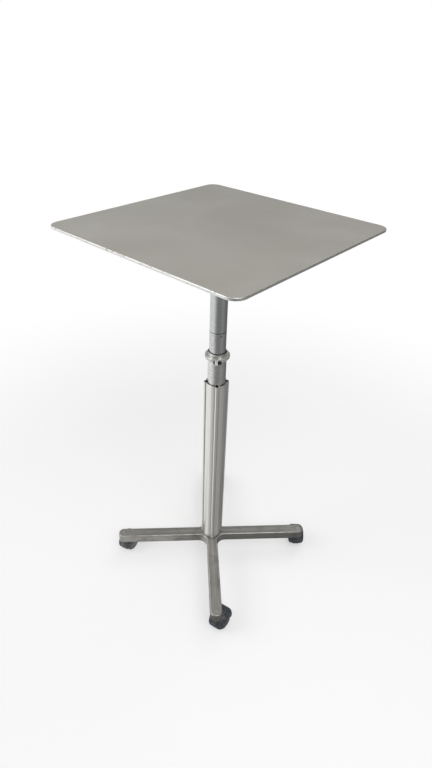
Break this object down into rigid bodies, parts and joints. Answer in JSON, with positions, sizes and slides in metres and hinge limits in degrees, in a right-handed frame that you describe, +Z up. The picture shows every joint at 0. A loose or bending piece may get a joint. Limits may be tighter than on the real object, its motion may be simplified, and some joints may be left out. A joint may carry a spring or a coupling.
{
  "type": "telescoping pedestal table",
  "caption": "Square-topped pedestal table: ribbed column on a four-armed caster base, two telescoping tubes with a pinch collar, swivelling top.",
  "frame": {"origin": "on the floor, on the column's axis", "axes": "+Z up; the square top's sides lie along X and Y, the base's arms along the diagonals"},
  "size_m": [0.5, 0.5, 1.026],
  "materials": {
    "top_finish": "satin, pale warm grey",
    "cast_finish": "satin cast, pale warm grey",
    "column_finish": "bright extrusion, fine lengthwise lines",
    "middle_finish": "scuffed, mottled",
    "inner_finish": "brushed round, scratched",
    "post_finish": "brushed",
    "collar_finish": "bright, worn",
    "plate_finish": "satin",
    "black_steel": "blackened",
    "zinc_steel": "zinc plated",
    "bush_plastic": "moulded",
    "hood_plastic": "moulded, dark slate",
    "wheel_plastic": "moulded, dark slate",
    "tyre_rubber": "smooth, dusty"
  },
  "bodies": {
    "base": {"base_cross": "cast_finish", "column": "column_finish", "column_guide_bush": "bush_plastic", "column_screws": "zinc_steel", "stem_sockets": "cast_finish", "caster_stem_front": "zinc_steel", "caster_stem_right": "zinc_steel", "caster_stem_back": "zinc_steel", "caster_stem_left": "zinc_steel"},
    "middle_stage": {"middle_tube": "middle_finish", "middle_guide_shoe": "bush_plastic", "clamp_collar": "collar_finish", "clamp_nut": "black_steel"},
    "clamp_knob": {"clamp_screw": "black_steel"},
    "upper_stage": {"inner_tube": "inner_finish", "inner_glide": "bush_plastic", "swivel_spigot": "zinc_steel", "spigot_set_screw": "black_steel"},
    "top": {"table_top": "top_finish", "mounting_plate": "plate_finish", "top_post": "post_finish", "post_bush": "bush_plastic", "top_screws": "zinc_steel", "post_set_screws": "black_steel"},
    "caster_front": {"caster_hood_front": "hood_plastic", "caster_axle_front": "zinc_steel"},
    "wheel_front_left": {"wheel_front_left": "wheel_plastic", "tyre_front_left": "tyre_rubber"},
    "wheel_front_right": {"wheel_front_right": "wheel_plastic", "tyre_front_right": "tyre_rubber"},
    "caster_right": {"caster_hood_right": "hood_plastic", "caster_axle_right": "zinc_steel"},
    "wheel_right_left": {"wheel_right_left": "wheel_plastic", "tyre_right_left": "tyre_rubber"},
    "wheel_right_right": {"wheel_right_right": "wheel_plastic", "tyre_right_right": "tyre_rubber"},
    "caster_back": {"caster_hood_back": "hood_plastic", "caster_axle_back": "zinc_steel"},
    "wheel_back_left": {"wheel_back_left": "wheel_plastic", "tyre_back_left": "tyre_rubber"},
    "wheel_back_right": {"wheel_back_right": "wheel_plastic", "tyre_back_right": "tyre_rubber"},
    "caster_left": {"caster_hood_left": "hood_plastic", "caster_axle_left": "zinc_steel"},
    "wheel_left_left": {"wheel_left_left": "wheel_plastic", "tyre_left_left": "tyre_rubber"},
    "wheel_left_right": {"wheel_left_right": "wheel_plastic", "tyre_left_right": "tyre_rubber"}
  },
  "joints": [
    {"name": "caster_front_swivel", "type": "hinge", "parent": "base", "child": "caster_front", "pos_m": [0.19057, -0.19057, 0.061], "axis": [0, 0, 1], "continuous": true},
    {"name": "wheel_front_left_spin", "type": "hinge", "parent": "caster_front", "child": "wheel_front_left", "pos_m": [0.1857, -0.16553, 0.025], "axis": [-0.9816, -0.1908, 0], "continuous": true},
    {"name": "wheel_front_right_spin", "type": "hinge", "parent": "caster_front", "child": "wheel_front_right", "pos_m": [0.1857, -0.16553, 0.025], "axis": [-0.9816, -0.1908, 0], "continuous": true},
    {"name": "caster_right_swivel", "type": "hinge", "parent": "base", "child": "caster_right", "pos_m": [0.19057, 0.19057, 0.061], "axis": [0, 0, 1], "continuous": true},
    {"name": "wheel_right_left_spin", "type": "hinge", "parent": "caster_right", "child": "wheel_right_left", "pos_m": [0.174, 0.20996, 0.025], "axis": [-0.7604, -0.6494, 0], "continuous": true},
    {"name": "wheel_right_right_spin", "type": "hinge", "parent": "caster_right", "child": "wheel_right_right", "pos_m": [0.174, 0.20996, 0.025], "axis": [-0.7604, -0.6494, 0], "continuous": true},
    {"name": "caster_back_swivel", "type": "hinge", "parent": "base", "child": "caster_back", "pos_m": [-0.19057, 0.19057, 0.061], "axis": [0, 0, 1], "continuous": true},
    {"name": "wheel_back_left_spin", "type": "hinge", "parent": "caster_back", "child": "wheel_back_left", "pos_m": [-0.18526, 0.21551, 0.025], "axis": [-0.9781, 0.2079, 0], "continuous": true},
    {"name": "wheel_back_right_spin", "type": "hinge", "parent": "caster_back", "child": "wheel_back_right", "pos_m": [-0.18526, 0.21551, 0.025], "axis": [-0.9781, 0.2079, 0], "continuous": true},
    {"name": "caster_left_swivel", "type": "hinge", "parent": "base", "child": "caster_left", "pos_m": [-0.19057, -0.19057, 0.061], "axis": [0, 0, 1], "continuous": true},
    {"name": "wheel_left_left_spin", "type": "hinge", "parent": "caster_left", "child": "wheel_left_left", "pos_m": [-0.19652, -0.16577, 0.025], "axis": [-0.9724, -0.2334, 0], "continuous": true},
    {"name": "wheel_left_right_spin", "type": "hinge", "parent": "caster_left", "child": "wheel_left_right", "pos_m": [-0.19652, -0.16577, 0.025], "axis": [-0.9724, -0.2334, 0], "continuous": true},
    {"name": "middle_slide", "type": "slide", "parent": "base", "child": "middle_stage", "axis": [0, 0, 1], "range_m": [-0.065, 0.145]},
    {"name": "clamp_turn", "type": "hinge", "parent": "middle_stage", "child": "clamp_knob", "pos_m": [0.02216, -0.02837, 0.7175], "axis": [0.788, 0.6157, 0], "range_deg": [0, 360]},
    {"name": "upper_slide", "type": "slide", "parent": "middle_stage", "child": "upper_stage", "axis": [0, 0, 1], "range_m": [-0.25, 0.145]},
    {"name": "top_swivel", "type": "hinge", "parent": "upper_stage", "child": "top", "pos_m": [0, 0, 0.784], "axis": [0, 0, 1], "continuous": true}
  ]
}
